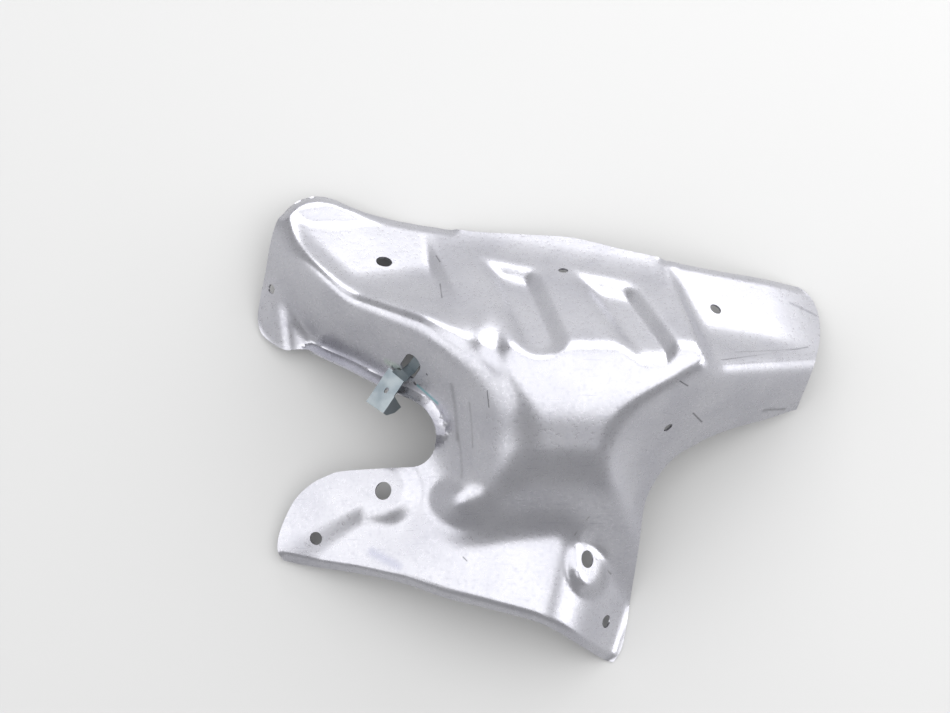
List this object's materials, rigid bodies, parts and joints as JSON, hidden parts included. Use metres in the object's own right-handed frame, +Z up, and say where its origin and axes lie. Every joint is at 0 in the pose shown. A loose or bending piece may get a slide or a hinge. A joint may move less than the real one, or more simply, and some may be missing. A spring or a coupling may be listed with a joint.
{
  "type": "exhaust heat shield",
  "caption": "Pressed aluminium exhaust heat shield with two arms, a raised centre block, a foot and a small folded steel clip hooked through a window.",
  "frame": {"origin": "centre of the plan box, at the floor that the shield lies on", "axes": "+X along the long back edge towards the right arm, +Y from the foot to the back edge, +Z up, square to the floor"},
  "size_m": [0.353, 0.2928, 0.1198],
  "materials": {
    "aluminium_sheet": "satin, as pressed, with fine scratches",
    "zinc_steel": "zinc plated"
  },
  "bodies": {
    "root": {"shield_panel": "aluminium_sheet", "clip_bracket": "zinc_steel"}
  },
  "joints": []
}
